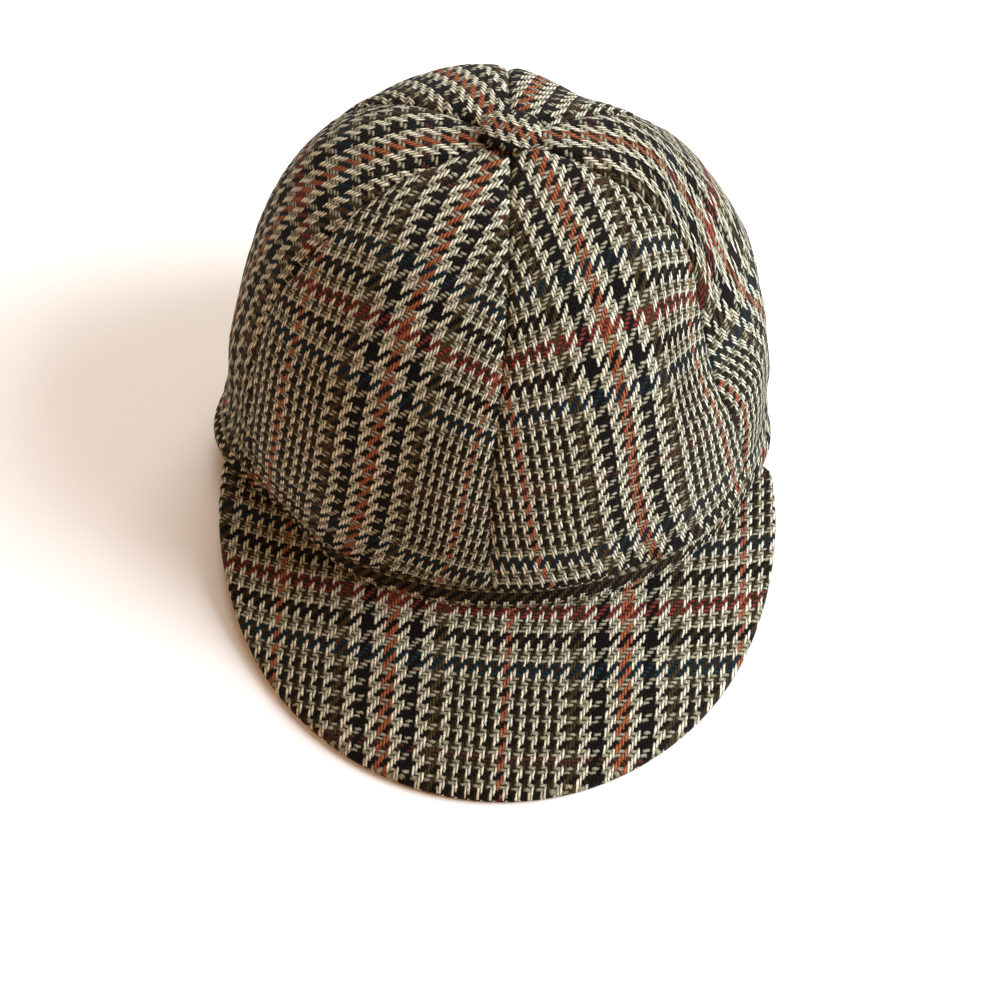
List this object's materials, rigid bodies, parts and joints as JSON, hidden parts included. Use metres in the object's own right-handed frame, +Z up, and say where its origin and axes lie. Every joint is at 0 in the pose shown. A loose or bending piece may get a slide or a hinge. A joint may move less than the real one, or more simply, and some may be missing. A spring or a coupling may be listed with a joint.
{
  "type": "peaked tweed cap",
  "caption": "Soft checked tweed cap with a gored crown, a narrow strip round its base, a stiff front peak and a covered button on top.",
  "frame": {"origin": "on the floor under the middle of the cap's box", "axes": "+Z up, -Y towards the peak, +X to the right when looking at the peak from the front"},
  "size_m": [0.1842, 0.2464, 0.126],
  "materials": {
    "tweed": "woven wool tweed, a brown and cream check with rust, dark red and dark teal lines",
    "strip": "woven wool tweed, cut so that its darker threads show",
    "button": "the same tweed, drawn tight over a button"
  },
  "bodies": {
    "root": {"panel_front_left": "tweed", "panel_front_right": "tweed", "panel_side_left": "tweed", "panel_side_right": "tweed", "panel_back_left": "tweed", "panel_back_right": "tweed", "base_strip": "strip", "peak_top": "tweed", "peak_under": "tweed", "top_button": "button"}
  },
  "joints": []
}
